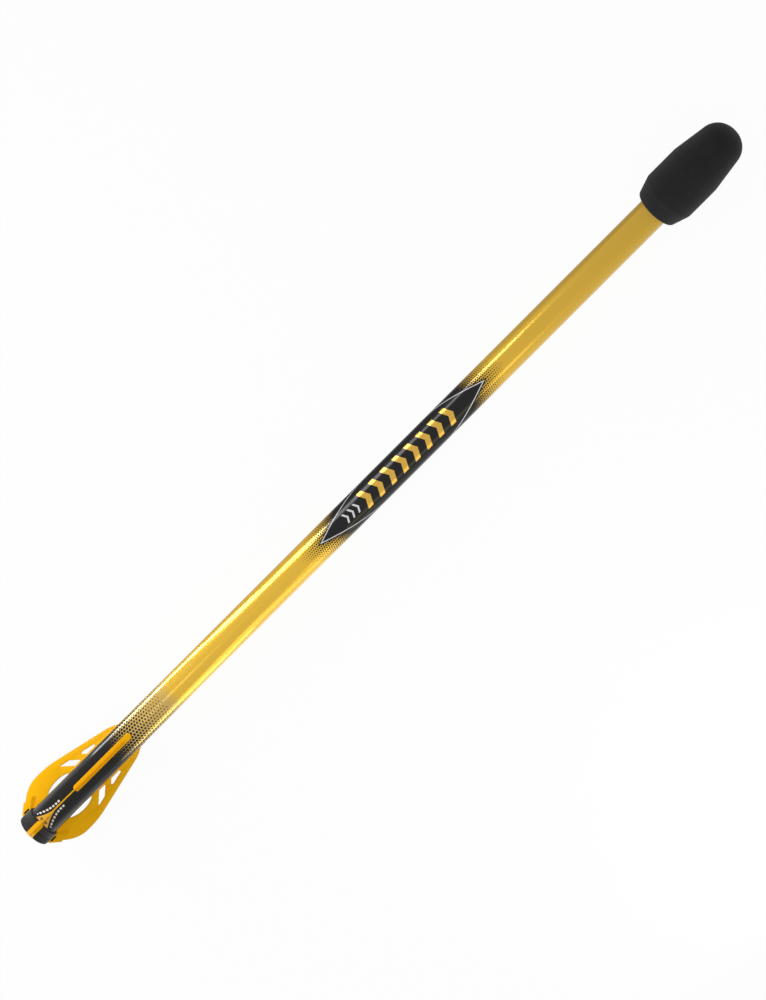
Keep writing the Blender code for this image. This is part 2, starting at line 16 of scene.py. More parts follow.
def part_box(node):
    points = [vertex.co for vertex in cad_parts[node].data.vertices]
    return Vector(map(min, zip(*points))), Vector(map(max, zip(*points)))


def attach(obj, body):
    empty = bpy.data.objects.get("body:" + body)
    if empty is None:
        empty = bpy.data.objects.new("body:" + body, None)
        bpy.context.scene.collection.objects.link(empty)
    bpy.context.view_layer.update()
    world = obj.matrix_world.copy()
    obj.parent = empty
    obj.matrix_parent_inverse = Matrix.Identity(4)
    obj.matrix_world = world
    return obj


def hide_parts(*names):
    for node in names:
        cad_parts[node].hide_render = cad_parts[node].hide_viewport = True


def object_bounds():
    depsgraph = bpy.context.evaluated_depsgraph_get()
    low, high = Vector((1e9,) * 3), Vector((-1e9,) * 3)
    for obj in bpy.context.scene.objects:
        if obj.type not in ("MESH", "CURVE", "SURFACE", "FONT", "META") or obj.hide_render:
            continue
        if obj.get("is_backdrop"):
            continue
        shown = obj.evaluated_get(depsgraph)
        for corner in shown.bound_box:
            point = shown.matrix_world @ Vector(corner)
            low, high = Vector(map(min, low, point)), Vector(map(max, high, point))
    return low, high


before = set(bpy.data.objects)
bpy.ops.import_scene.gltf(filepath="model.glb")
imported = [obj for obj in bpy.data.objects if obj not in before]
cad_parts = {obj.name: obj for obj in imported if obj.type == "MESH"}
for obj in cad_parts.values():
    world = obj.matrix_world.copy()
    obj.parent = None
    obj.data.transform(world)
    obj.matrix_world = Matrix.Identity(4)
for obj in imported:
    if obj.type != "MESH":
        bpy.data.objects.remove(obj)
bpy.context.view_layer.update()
tube_low, tube_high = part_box("shaft_tube")
head_low, head_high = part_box("foam_head")
cap_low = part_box("tail_cap")[0]
ring_low, ring_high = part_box("fin_lock_ring")
socket_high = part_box("head_socket")[1]

bl_info = {
    "name": "Training javelin",
    "version": (1, 0, 0),
    "blender": (4, 5, 0),
    "location": "3D View > Sidebar > Javelin",
    "description": "Makes the dressed pieces of a soft-headed training javelin",
    "category": "Add Mesh",
}

BODY = "root"
CLEARANCE = 0.0003
FIN_TURNS = (0.0, math.tau / 3.0, -math.tau / 3.0)

TUBE_SPANS = 24

# Tail collar: edges, and the T-shaped keyways for the fins' necks and feet

CAP_REAR_ROUND = 0.0018
SEAM_ROUND = 0.0007
RING_FRONT_ROUND = 0.0005
RING_BORE = 0.0083
KEYWAY_HALF_NECK = 0.0040
KEYWAY_HALF_FOOT = 0.0055
FOOT_FLOOR = 0.0093
FOOT_TOP = 0.0117
NECK_FLOOR = 0.0105
CUT_MARGIN = 0.0010
STEPS_PER_GRIP = 6
GRIP_INSET = 0.00012

# Windows in the fins' root blocks, inside which shade is painted: along the shaft, across the fin and
# out from the axis

WINDOW_LOW = (0.0035, -0.0036, 0.0177)
WINDOW_HIGH = (0.0109, 0.0036, 0.0201)
WINDOW_EDGE = 0.0001

# Dotted print

PRINT_EDGE = 0.00015
DOT_EDGE = 0.08
ROW_SPACING = 0.93
TAIL_FADE_CURVE = 1.25
TAIL_DOT_GROWTH = 0.49
TAIL_DOT_LEAST = 0.175
FINE_FADE_LEAN = 0.9
FINE_FADE_START = 0.093
FINE_FADE_END = 0.142
FINE_DOT_LARGEST = 0.66
FINE_DOT_LEAST = 0.14

# Lozenge, its pinstripe, and its two rows of marks, with starts measured from its middle

LOZENGE_SLOPE = 0.314
PINSTRIPE_INSET = 0.0016
PINSTRIPE_HALF_WIDTH = 0.00045
MARK_LEAN = 0.62
CHEVRONS = {"start": -0.052, "pitch": 0.0168, "share": 0.40, "edge": 0.01, "reach": 0.0098, "run": 7.4}
BARS = {"start": -0.079, "pitch": 0.0075, "share": 0.30, "edge": 0.02, "reach": 0.0052, "run": 2.6}

# Spear in front of each fin root, with a row of dashes and a diamond on either side

SPEAR_CURVE = 1.9
DASH_OFFSET = 0.0032
DASH_HALF_WIDTH = 0.0010
DASH_PITCH = 0.0037
DASH_SHARE = 0.64
DASH_START = 0.0197
DASH_END = 0.0467
DIAMOND_ALONG = 0.0206
DIAMOND_OFFSET = 0.0029
DIAMOND_SIZE = 0.0016
DIAMOND_HOLE = 0.0006

# Floor and surroundings: levels, and how the floor's level in reflections changes by place

FLOOR_SIDE = 30.0
FLOOR_GAP = 0.0005
FLOOR_GLOW = 0.955
WORLD_LIGHT = 0.57
LEFT_CHANGE = -0.62
RIGHT_CHANGE = 0.7
REAR_CHANGE = 0.9

# Strips that only make highlights, in the order of add_strip's values, with angles positive to the left

LEFT_STRIPS = (
    ("left_rear", (0.068, 0.225), (98.0, 93.0), 0.10, 17.0, 15.0),
    ("left_turn", (0.189, 0.259), (94.0, 76.0), 0.20, 17.0, 14.0),
    ("left_middle", (0.224, 0.294), (75.0, 60.0), 0.30, 24.0, 10.0),
    ("left_front", (0.223, 0.383), (60.0, 59.0), 0.50, 24.0, 10.5),
    ("left_end", (0.383, 0.535), (58.0, 54.0), 0.50, 14.0, 10.0),
)
RIGHT_STRIPS = (
    ("right_rear", (0.086, 0.236), (-95.0, -94.0), 0.10, 17.0, 7.5),
    ("right_middle", (0.236, 0.275), (-94.0, -90.0), 0.10, 18.0, 3.6),
    ("right_turn", (0.154, 0.294), (-100.0, -72.0), 0.30, 50.0, 2.2),
    ("right_front", (0.223, 0.535), (-60.0, -55.0), 0.50, 18.0, 2.3),
)
TOP_STRIP = ("top_rear", (-0.09, 0.03), (2.0, 2.0), 0.60, 11.0, 2.2)
WHITE = (1.0, 1.0, 1.0)
WARM_WHITE = (1.0, 0.90, 0.45)


def length(label, about, default):
    """Length setting shown in metres."""
    return FloatProperty(
        name=label, description=about, default=default, min=0.0, precision=5, unit="LENGTH"
    )


def colour(label, about, default):
    """Colour setting."""
    return FloatVectorProperty(
        name=label, description=about, default=default, size=3, min=0.0, max=1.0, subtype="COLOR"
    )


def count(label, about, default, low):
    """Whole-number setting."""
    return IntProperty(name=label, description=about, default=default, min=low)


class JavelinSizes(bpy.types.PropertyGroup):
    """Sizes of the dressed pieces and of the print on the tube."""

    steps: count("Steps round", "Flat steps round each turned piece", 144, 24)
    tube_wall: length("Tube wall", "Thickness of the tube's wall", 0.0016)
    tube_lip: length("Tube end round", "Rounding of the tube's cut ends", 0.0003)
    lip_radius: length("Head lip radius", "Radius of the foam head's rear face", 0.0216)
    flare: length("Head flare", "Length over which the foam widens", 0.0188)
    belly: length("Head belly", "Length of the widest part of the foam", 0.0365)
    nose_radius: length("Head nose radius", "Radius at the corner of the nose", 0.0200)
    lip_round: length("Head lip round", "Rounding of the rear edge", 0.0030)
    shoulder_round: length("Head shoulder round", "Rounding where the flare ends", 0.0100)
    waist_round: length("Head waist round", "Rounding where the taper starts", 0.0250)
    nose_round: length("Head nose round", "Rounding of the nose", 0.0210)
    grip_count: count("Grip ribs", "Ribs round the tail cap's rim", 36, 6)
    grip_depth: length("Grip depth", "Depth of the dips between the ribs", 0.00035)
    edge_round: length("Fin edge round", "Rounding of the fins' edges", 0.00018)
    dot_pitch: length("Dot pitch", "Distance between the large dots", 0.0034)
    fine_pitch: length("Fine dot pitch", "Distance between the small dots", 0.0025)
    fade_start: length("Fade start", "Where the tail's solid print breaks into dots", 0.1079)
    fade_end: length("Fade end", "Where the last dots of the tail's fade lie", 0.1914)
    panel_middle: length("Panel middle", "Middle of the long printed lozenge", 0.5337)
    panel_reach: length("Panel reach", "Half the length of the lozenge", 0.1207)
    spear_tip: length("Spear tip", "Point of the gold spear in front of each fin root", 0.0419)
    spear_reach: length("Spear reach", "Half the width of the gold spear's base", 0.0080)


class JavelinColours(bpy.types.PropertyGroup):
    """Colours of the finishes."""

    pale_gold: colour("Pale gold", "Lacquer between the dots at the tail", (0.690, 0.455, 0.115))
    gold: colour("Gold", "Lacquered tube in front of the dots", (0.890, 0.538, 0.040))
    # Painted shade: darker gold near the head, where less light falls
    shaded_gold: colour("Shaded gold", "Lacquered tube near the head", (0.690, 0.420, 0.036))
    ink: colour("Ink", "Black print on the tube", (0.012, 0.012, 0.0125))
    stripe: colour("Stripe", "Thin pale lines in the print", (0.820, 0.820, 0.820))
    spear: colour("Spear", "Gold print in front of the fins", (0.770, 0.455, 0.070))
    fin: colour("Fin", "Moulded orange plastic", (0.970, 0.490, 0.003))
    # Painted shade inside the windows of the fins' root blocks, standing in for the shadow in those
    # recesses
    window_shade: colour("Shadow", "Inside the windows of the fins' root blocks", (0.100, 0.060, 0.004))
    foam: colour("Foam", "Black foam of the head", (0.0135, 0.0135, 0.0140))
    pores: colour("Pores", "Open pores of the foam", (0.008, 0.008, 0.008))
    collar: colour("Collar", "Black plastic of the tail collar", (0.042, 0.042, 0.043))
    plug: colour("Plug", "Grey plastic of the front plug", (0.120, 0.120, 0.120))
    dark_steel: colour("Dark steel", "Dark rings of the nose weight", (0.420, 0.420, 0.430))
    steel: colour("Steel", "Bright rings of the nose weight", (0.600, 0.600, 0.610))
    floor: colour("Floor", "Pale floor", (0.950, 0.950, 0.950))


# Shapes


def start_piece():
    """Leave edit mode with nothing selected."""
    if bpy.context.mode != "OBJECT":
        bpy.ops.object.mode_set(mode="OBJECT")
    bpy.ops.object.select_all(action="DESELECT")


def pick(piece):
    """Make a piece the only selected object and the active one."""
    start_piece()
    piece.select_set(True)
    bpy.context.view_layer.objects.active = piece


def rounded(corners, turn):
    """Outline through (along, radius, round) corners, with an arc at each rounded corner."""
    outline = []
    for index, (along, radius, size) in enumerate(corners):
        corner = Vector((along, radius))
        if size == 0.0:
            outline.append(corner)
            continue
        before = (Vector(corners[index - 1][:2]) - corner).normalized()
        after = (Vector(corners[(index + 1) % len(corners)][:2]) - corner).normalized()
        half = before.angle(after) / 2.0
        reach = size / math.tan(half)
        centre = corner + (before + after).normalized() * size / math.sin(half)
        start = corner + before * reach - centre
        sweep = -start.angle_signed(corner + after * reach - centre)
        steps = max(3, math.ceil(abs(sweep) / turn))
        for step in range(steps + 1):
            outline.append(centre + Matrix.Rotation(sweep * step / steps, 2) @ start)
    return outline


def turned(name, outline, steps):
    """Piece made by pulling one vertex along an outline and spinning the line round the shaft."""
    start_piece()
    bpy.ops.mesh.primitive_plane_add(size=CLEARANCE, location=(0.0, 0.0, 0.0))
    piece = bpy.context.object
    piece.name = piece.data.name = name
    bpy.ops.object.mode_set(mode="EDIT")
    bpy.ops.mesh.select_all(action="SELECT")
    bpy.ops.mesh.merge(type="CENTER")
    bpy.ops.transform.translate(value=(outline[0].x, 0.0, outline[0].y))
    for here, there in zip(outline, outline[1:]):
        pull = (there.x - here.x, 0.0, there.y - here.y)
        bpy.ops.mesh.extrude_vertices_move(TRANSFORM_OT_translate={"value": pull})
    bpy.ops.mesh.select_all(action="SELECT")
    bpy.ops.mesh.spin(
        steps=steps,
        angle=math.tau,
        use_auto_merge=True,
        center=(0.0, 0.0, 0.0),
        axis=(1.0, 0.0, 0.0),
    )
    bpy.ops.mesh.select_all(action="SELECT")
    bpy.ops.mesh.remove_doubles(threshold=0.000005)
    bpy.ops.mesh.normals_make_consistent(inside=False)
    bpy.ops.object.mode_set(mode="OBJECT")
    return piece


def cut_box(piece, low, high, turn):
    """Cut a box, turned about the shaft, out of a piece."""
    start_piece()
    middle = Matrix.Rotation(turn, 4, "X") @ ((Vector(low) + Vector(high)) / 2.0)
    bpy.ops.mesh.primitive_cube_add(size=1.0, location=middle, rotation=(turn, 0.0, 0.0))
    cutter = bpy.context.object
    cutter.scale = Vector(high) - Vector(low)
    pick(piece)
    cut = piece.modifiers.new("cut", "BOOLEAN")
    cut.operation = "DIFFERENCE"
    cut.solver = "EXACT"
    cut.object = cutter
    bpy.ops.object.modifier_apply(modifier=cut.name)
    bpy.data.objects.remove(cutter, do_unlink=True)


def press_grips(piece, number, depth):
    """Press shallow dips, evenly spaced, into the rim of a turned piece."""
    pick(piece)
    bpy.ops.object.mode_set(mode="EDIT")
    bpy.ops.mesh.select_all(action="DESELECT")
    shape = bmesh.from_edit_mesh(piece.data)
    for face in shape.faces:
        middle = face.calc_center_median()
        outwards = Vector((0.0, middle.y, middle.z)).normalized()
        share = (math.atan2(middle.y, middle.z) / math.tau * number) % 1.0
        face.select = face.normal.dot(outwards) > 0.99 and share > 0.5
    bmesh.update_edit_mesh(piece.data)
    bpy.ops.mesh.inset(thickness=GRIP_INSET, depth=-depth)
    bpy.ops.object.mode_set(mode="OBJECT")


def smooth(piece, degrees=35.0):
    """Shade a piece smoothly up to an angle."""
    pick(piece)
    bpy.ops.object.shade_smooth_by_angle(angle=math.radians(degrees))


def dress(piece, material, slot, *nodes):
    """Give a piece its material and let it stand for its CAD nodes; the slot is not used."""
    piece.data.materials.clear()
    piece.data.materials.append(material)
    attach(piece, BODY)
    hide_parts(*nodes)


# Finishes


class Finish:
    """One material's node tree, built up step by step on Object coordinates."""

    def __init__(self, name):
        self.material = bpy.data.materials.new(name)
        self.material.use_nodes = True
        self.tree = self.material.node_tree
        self.shader = self.tree.nodes["Principled BSDF"]
        self.place = self.tree.nodes.new("ShaderNodeTexCoord").outputs["Object"]

    def node(self, kind, inputs, **settings):
        """Add a node, set its options, and link or set its inputs."""
        made = self.tree.nodes.new(kind)
        for option, value in settings.items():
            setattr(made, option, value)
        for key, value in inputs.items():
            self.feed(made.inputs[key], value)
        return made

    def feed(self, socket, value):
        """Link an output to a socket, or set the socket's own value."""
        if isinstance(value, bpy.types.NodeSocket):
            self.tree.links.new(value, socket)
        else:
            socket.default_value = value

    def surface(self, **inputs):
        """Set or link the shader's own sockets, named with underscores for spaces."""
        for key, value in inputs.items():
            self.feed(self.shader.inputs[key.replace("_", " ")], value)

    def axes(self):
        """Object coordinates as three numbers."""
        return self.node("ShaderNodeSeparateXYZ", {"Vector": self.place}).outputs

    def number(self, operation, *values, clamp=False):
        """One step of arithmetic."""
        inputs = dict(enumerate(values))
        return self.node("ShaderNodeMath", inputs, operation=operation, use_clamp=clamp).outputs[0]

    def ramp(self, value, low, high, start=0.0, end=1.0):
        """Carry a value from one range to another, held at its ends."""
        inputs = {"Value": value, "From Min": low, "From Max": high, "To Min": start, "To Max": end}
        return self.node("ShaderNodeMapRange", inputs, clamp=True).outputs["Result"]

    def below(self, value, limit, soft=PRINT_EDGE):
        """Mask that is 1 where value is under limit, with a soft edge."""
        gap = self.number("SUBTRACT", limit, value)
        return self.number("MULTIPLY_ADD", gap, 1.0 / soft, 0.5, clamp=True)

    def above(self, value, limit, soft=PRINT_EDGE):
        """Mask that is 1 where value is over limit, with a soft edge."""
        gap = self.number("SUBTRACT", value, limit)
        return self.number("MULTIPLY_ADD", gap, 1.0 / soft, 0.5, clamp=True)

    def beat(self, value, pitch, share, soft):
        """Mask of the first share of each pitch, its soft edge also a share of the pitch."""
        step = self.number("FRACT", self.number("MULTIPLY", value, 1.0 / pitch))
        return self.below(step, share, soft)

    def away(self, value, middle):
        """Distance of a value from a middle."""
        return self.number("ABSOLUTE", self.number("SUBTRACT", value, middle))

    def both(self, *masks):
        """Mask of where all the masks are 1."""
        result = masks[0]
        for mask in masks[1:]:
            result = self.number("MULTIPLY", result, mask)
        return result

    def either(self, *masks):
        """Mask of where any of the masks is 1."""
        result = masks[0]
        for mask in masks[1:]:
            result = self.number("MAXIMUM", result, mask)
        return result

    def blend(self, share, first, second):
        """Colour between two colours."""
        mix = self.tree.nodes.new("ShaderNodeMix")
        mix.data_type = "RGBA"
        factor, first_colour, second_colour = (mix.inputs[index] for index in (0, 6, 7))
        self.feed(factor, share)
        self.feed(first_colour, first)
        self.feed(second_colour, second)
        return mix.outputs[2]

    def lit(self, tone, value):
        """Colour with its brightness multiplied by a value."""
        return self.node("ShaderNodeHueSaturation", {"Color": tone, "Value": value}).outputs[0]

    def grain(self, scale, detail, stretch=(1.0, 1.0, 1.0)):
        """Cloudy noise of about 0 to 1 with the given number of blobs per metre."""
        place = self.node("ShaderNodeMapping", {"Vector": self.place, "Scale": stretch})
        inputs = {"Vector": place.outputs[0], "Scale": scale, "Detail": detail, "Roughness": 0.55}
        return self.node("ShaderNodeTexNoise", inputs).outputs["Fac"]

    def cells(self, scale):
        """Distance to the nearest cell centre, with the given number of cells per metre."""
        inputs = {"Vector": self.place, "Scale": scale}
        return self.node("ShaderNodeTexVoronoi", inputs).outputs["Distance"]

    def relief(self, height, depth, strength):
        """Feed a height to the shader's normal as relief of the given depth."""
        inputs = {"Height": height, "Distance": depth, "Strength": strength}
        self.surface(Normal=self.node("ShaderNodeBump", inputs).outputs["Normal"])


def rgba(setting):
    """Colour setting with full opacity."""
    return (*setting, 1.0)


def turn_from_top(finish, axes):
    """Angle round the shaft from straight up, positive to the right."""
    sideways = finish.number("MULTIPLY", axes["Y"], -1.0)
    return finish.number("ARCTAN2", sideways, axes["Z"])


def turn_from_fin(finish, angle):
    """Angle round the shaft from the nearest fin."""
    return finish.number("WRAP", angle, math.pi / 3.0, -math.pi / 3.0)


def dot_field(finish, along, around, pitch, size):
    """Mask of round dots in staggered rows, of a size given as a share of the pitch."""
    girth = math.tau * tube_high.z
    row_pitch = girth / round(girth / (2.0 * ROW_SPACING * pitch))
    nearest = []
    for shift in (0.0, 0.5):
        across = finish.number("MULTIPLY_ADD", along, 1.0 / pitch, shift)
        up = finish.number("MULTIPLY_ADD", around, 1.0 / row_pitch, shift)
        off_across = finish.number("SUBTRACT", finish.number("FRACT", across), 0.5)
        off_up = finish.number("SUBTRACT", finish.number("FRACT", up), 0.5)
        off_up = finish.number("MULTIPLY", off_up, row_pitch / pitch)
        square = finish.number("MULTIPLY", off_across, off_across)
        square = finish.number("MULTIPLY_ADD", off_up, off_up, square)
        nearest.append(finish.number("SQRT", square))
    return finish.below(finish.number("MINIMUM", *nearest), size, DOT_EDGE)


def tail_fade(finish, sizes, along, around):
    """Mask of the tail's solid print, which breaks into dots towards the front."""
    solid = finish.ramp(along, sizes.fade_start, sizes.fade_end, 1.0, 0.0)
    curved = finish.number("POWER", solid, TAIL_FADE_CURVE)
    size = finish.number("MULTIPLY_ADD", curved, TAIL_DOT_GROWTH, TAIL_DOT_LEAST)
    size = finish.number("MULTIPLY", size, finish.below(along, sizes.fade_end))
    return dot_field(finish, along, around, sizes.dot_pitch, size)


def lozenge_print(finish, sizes, along, around, off_top):
    """Masks of the lozenge with the fine dots round it, and of the pinstripe inside its edge."""
    from_middle = finish.away(along, sizes.panel_middle)
    edge = LOZENGE_SLOPE * sizes.panel_reach
    lozenge = finish.number("MULTIPLY_ADD", from_middle, LOZENGE_SLOPE, off_top)
    panel = finish.below(lozenge, edge)

    spread = finish.number("MULTIPLY_ADD", off_top, FINE_FADE_LEAN, from_middle)
    size = finish.ramp(spread, FINE_FADE_START, FINE_FADE_END, FINE_DOT_LARGEST, FINE_DOT_LEAST)
    size = finish.number("MULTIPLY", size, finish.below(spread, FINE_FADE_END))
    fine = dot_field(finish, along, around, sizes.fine_pitch, size)

    inset = finish.number("SUBTRACT", edge, lozenge)
    pinstripe = finish.below(finish.away(inset, PINSTRIPE_INSET), PINSTRIPE_HALF_WIDTH)
    return finish.either(panel, fine), pinstripe


def row_of_marks(finish, leaning, off_top, middle, start, pitch, share, edge, reach, run):
    """Mask of a row of marks along the lozenge, run pitches long."""
    ahead = finish.number("SUBTRACT", leaning, middle + start)
    return finish.both(
        finish.beat(ahead, pitch, share, edge),
        finish.below(off_top, reach),
        finish.above(ahead, 0.0),
        finish.below(ahead, pitch * run),
    )


def spear_print(finish, sizes, along, angle):
    """Masks of the gold spears with their open diamonds, and of the pale dashes beside them."""
    off_fin = finish.number("MULTIPLY", turn_from_fin(finish, angle), tube_high.z)
    off_fin = finish.number("ABSOLUTE", off_fin)
    left_over = finish.ramp(along, tube_low.x, sizes.spear_tip, 1.0, 0.0)
    narrowed = finish.number("POWER", left_over, SPEAR_CURVE)
    side = finish.number("MULTIPLY", narrowed, sizes.spear_reach)
    spear = finish.both(finish.below(off_fin, side), finish.below(along, sizes.spear_tip))

    beyond = finish.number("SUBTRACT", off_fin, side)
    dashes = finish.both(
        finish.below(finish.away(beyond, DASH_OFFSET), DASH_HALF_WIDTH),
        finish.beat(along, DASH_PITCH, DASH_SHARE, 0.04),
        finish.below(along, DASH_END),
        finish.above(along, DASH_START),
    )

    from_mark = finish.away(along, DIAMOND_ALONG)
    off_mark = finish.away(off_fin, DIAMOND_OFFSET)
    diamond = finish.number("ADD", from_mark, off_mark)
    diamond = finish.both(finish.below(diamond, DIAMOND_SIZE), finish.above(diamond, DIAMOND_HOLE))
    return finish.both(spear, finish.number("SUBTRACT", 1.0, diamond)), dashes


def gold_tone(finish, sizes, colours, along):
    """Cloudy gold, pale between the dots at the tail, with painted shade making it darker near the
    head.
    """
    # Painted shade: the gold darkens towards the head
    fade = finish.ramp(along, 0.60, 0.90)
    gold = finish.blend(fade, rgba(colours.gold), rgba(colours.shaded_gold))
    paled = finish.ramp(along, sizes.fade_end + 0.004, sizes.fade_end + 0.016, 1.0, 0.0)
    gold = finish.blend(paled, gold, rgba(colours.pale_gold))
    cloud = finish.grain(scale=26.0, detail=2.0, stretch=(0.25, 1.0, 1.0))
    return finish.blend(cloud, finish.lit(gold, 0.93), gold)


def lacquered_print(sizes, colours):
    """Gold lacquer with black print: solid tail, dotted fades, lozenge, chevrons and pinstripes."""
    finish = Finish("gold_lacquer_with_print")
    axes = finish.axes()
    along = axes["X"]
    angle = turn_from_top(finish, axes)
    around = finish.number("MULTIPLY", angle, tube_high.z)
    off_top = finish.number("ABSOLUTE", around)

    lozenge, pinstripe = lozenge_print(finish, sizes, along, around, off_top)
    leaning = finish.number("MULTIPLY_ADD", off_top, MARK_LEAN, along)
    chevrons = row_of_marks(finish, leaning, off_top, sizes.panel_middle, **CHEVRONS)
    bars = row_of_marks(finish, leaning, off_top, sizes.panel_middle, **BARS)
    spears, dashes = spear_print(finish, sizes, along, angle)

    ink = finish.either(tail_fade(finish, sizes, along, around), lozenge)
    marks = finish.either(spears, chevrons)
    pale = finish.either(pinstripe, bars, dashes)
    tone = finish.blend(ink, gold_tone(finish, sizes, colours, along), rgba(colours.ink))
    tone = finish.blend(marks, tone, rgba(colours.spear))
    tone = finish.blend(pale, tone, rgba(colours.stripe))

    printed = finish.either(ink, marks, pale)
    bare = finish.number("SUBTRACT", 1.0, printed, clamp=True)
    metal = finish.number("MULTIPLY", finish.either(bare, marks), 0.25)
    streaks = finish.grain(scale=180.0, detail=2.0, stretch=(0.06, 1.0, 1.0))
    rub = finish.ramp(streaks, 0.35, 0.75, 0.18, 0.21)
    clear = finish.number("MULTIPLY_ADD", bare, 0.22, 0.26)
    finish.surface(Base_Color=tone, Metallic=metal, Roughness=rub, Coat_Weight=clear)
    finish.surface(Coat_Roughness=0.11, Specular_IOR_Level=0.05)
    finish.relief(printed, depth=0.00002, strength=0.4)
    return finish.material


def foam_finish(colours):
    """Closed-cell black foam: fine open pores, a soft grain and faint scuffs."""
    finish = Finish("black_foam")
    foam = rgba(colours.foam)
    scuff = finish.ramp(finish.grain(scale=45.0, detail=4.0), 0.52, 0.78)
    tone = finish.blend(scuff, foam, finish.lit(foam, 1.55))
    pit = finish.ramp(finish.cells(1500.0), 0.10, 0.45)
    tone = finish.blend(pit, rgba(colours.pores), tone)
    finish.surface(Base_Color=tone, Roughness=0.86, Specular_IOR_Level=0.15)
    finish.surface(Sheen_Weight=0.10, Sheen_Roughness=0.6)
    grain = finish.grain(scale=2600.0, detail=3.0)
    lump = finish.number("MULTIPLY_ADD", grain, 0.5, finish.number("MULTIPLY", pit, 0.5))
    finish.relief(lump, depth=0.00022, strength=0.7)
    return finish.material


def lay_plastic(finish, tone, roughness, grain_depth, shine):
    """Lay flow clouds, handling marks and grain into a finish, and give back its cloudy colour."""
    cloud = finish.grain(scale=60.0, detail=3.0)
    clouded = finish.blend(cloud, finish.lit(rgba(tone), 0.94), finish.lit(rgba(tone), 1.06))
    handled = finish.grain(scale=700.0, detail=4.0, stretch=(0.15, 1.0, 1.0))
    handled = finish.ramp(handled, 0.3, 0.8)
    rough = finish.number("MULTIPLY_ADD", handled, 0.12, roughness - 0.06)
    finish.surface(Base_Color=clouded, Roughness=rough, Specular_IOR_Level=shine)
    finish.relief(finish.grain(scale=3200.0, detail=2.0), grain_depth, strength=0.6)
    return clouded


def plastic_finish(name, tone, roughness, grain_depth, shine=0.3):
    """Moulded plastic with spark-eroded grain, faint flow clouds and handling marks."""
    finish = Finish(name)
    lay_plastic(finish, tone, roughness, grain_depth, shine)
    return finish.material


def fin_finish(colours):
    """Orange plastic with painted shade: a dark colour laid inside the small windows of the root
    blocks.
    """
    finish = Finish("orange_fin_plastic")
    axes = finish.axes()
    local = turn_from_fin(finish, turn_from_top(finish, axes))
    square = finish.number("MULTIPLY", axes["Y"], axes["Y"])
    out = finish.number("SQRT", finish.number("MULTIPLY_ADD", axes["Z"], axes["Z"], square))
    places = (
        axes["X"],
        finish.number("MULTIPLY", out, finish.number("SINE", local)),
        finish.number("MULTIPLY", out, finish.number("COSINE", local)),
    )
    masks = []
    for place, low, high in zip(places, WINDOW_LOW, WINDOW_HIGH):
        masks.append(finish.below(place, high, WINDOW_EDGE))
        masks.append(finish.above(place, low, WINDOW_EDGE))
    unshaded_orange = lay_plastic(finish, colours.fin, 0.46, 0.00005, 0.05)
    # Paint shade inside the windows: a dark colour within the window box
    finish.surface(Base_Color=finish.blend(finish.both(*masks), unshaded_orange, rgba(colours.window_shade)))
    return finish.material


def steel_finish(colours):
    """Turned bright steel with fine rings."""
    finish = Finish("turned_steel")
    rings = finish.grain(scale=5200.0, detail=2.0, stretch=(1.0, 0.02, 0.02))
    tone = finish.blend(rings, rgba(colours.dark_steel), rgba(colours.steel))
    rub = finish.ramp(rings, 0.3, 0.7, 0.24, 0.36)
    finish.surface(Base_Color=tone, Metallic=1.0, Roughness=rub)
    finish.relief(rings, depth=0.00002, strength=0.6)
    return finish.material


# Operators, one for each piece or group of like pieces


class MakeTube(bpy.types.Operator):
    """Make the printed tube"""

    bl_idname = "javelin.make_tube"
    bl_label = "Tube"

    def execute(self, context):
        sizes = context.scene.javelin_sizes
        outer = tube_high.z
        inner = outer - sizes.tube_wall
        rear, front, lip = tube_low.x, tube_high.x, sizes.tube_lip
        outside = [
            (rear + (front - rear) * step / TUBE_SPANS, outer, 0.0)
            for step in range(1, TUBE_SPANS)
        ]
        outline = rounded([
            (rear, inner, lip),
            (rear, outer, lip),
            *outside,
            (front, outer, lip),
            (front, inner, lip),
        ], turn=math.radians(30.0))
        outline.append(outline[0].copy())
        tube = turned("printed_tube", outline, sizes.steps)
        smooth(tube)
        finish = lacquered_print(sizes, context.scene.javelin_colours)
        dress(tube, finish, "gold_tube", "shaft_tube")
        return {"FINISHED"}


class MakeFoamHead(bpy.types.Operator):
    """Make the foam head"""

    bl_idname = "javelin.make_foam_head"
    bl_label = "Foam head"

    def execute(self, context):
        sizes = context.scene.javelin_sizes
        rear, tip, belly_radius = head_low.x, head_high.x, head_high.z
        flare_end = rear + sizes.flare
        outside = rounded([
            (rear, 0.0, 0.0),
            (rear, sizes.lip_radius, sizes.lip_round),
            (flare_end, belly_radius, sizes.shoulder_round),
            (flare_end + sizes.belly, belly_radius, sizes.waist_round),
            (tip, sizes.nose_radius, sizes.nose_round),
            (tip, 0.0, 0.0),
        ], turn=math.radians(3.0))[1:]
        bore = socket_high.z + CLEARANCE
        floor = socket_high.x + CLEARANCE
        inside = [Vector((floor, 0.0)), Vector((floor, bore)), Vector((rear, bore))]
        head = turned("foam_cushion", inside + outside, sizes.steps)
        smooth(head, 50.0)
        dress(head, foam_finish(context.scene.javelin_colours), "black_foam", "foam_head")
        return {"FINISHED"}


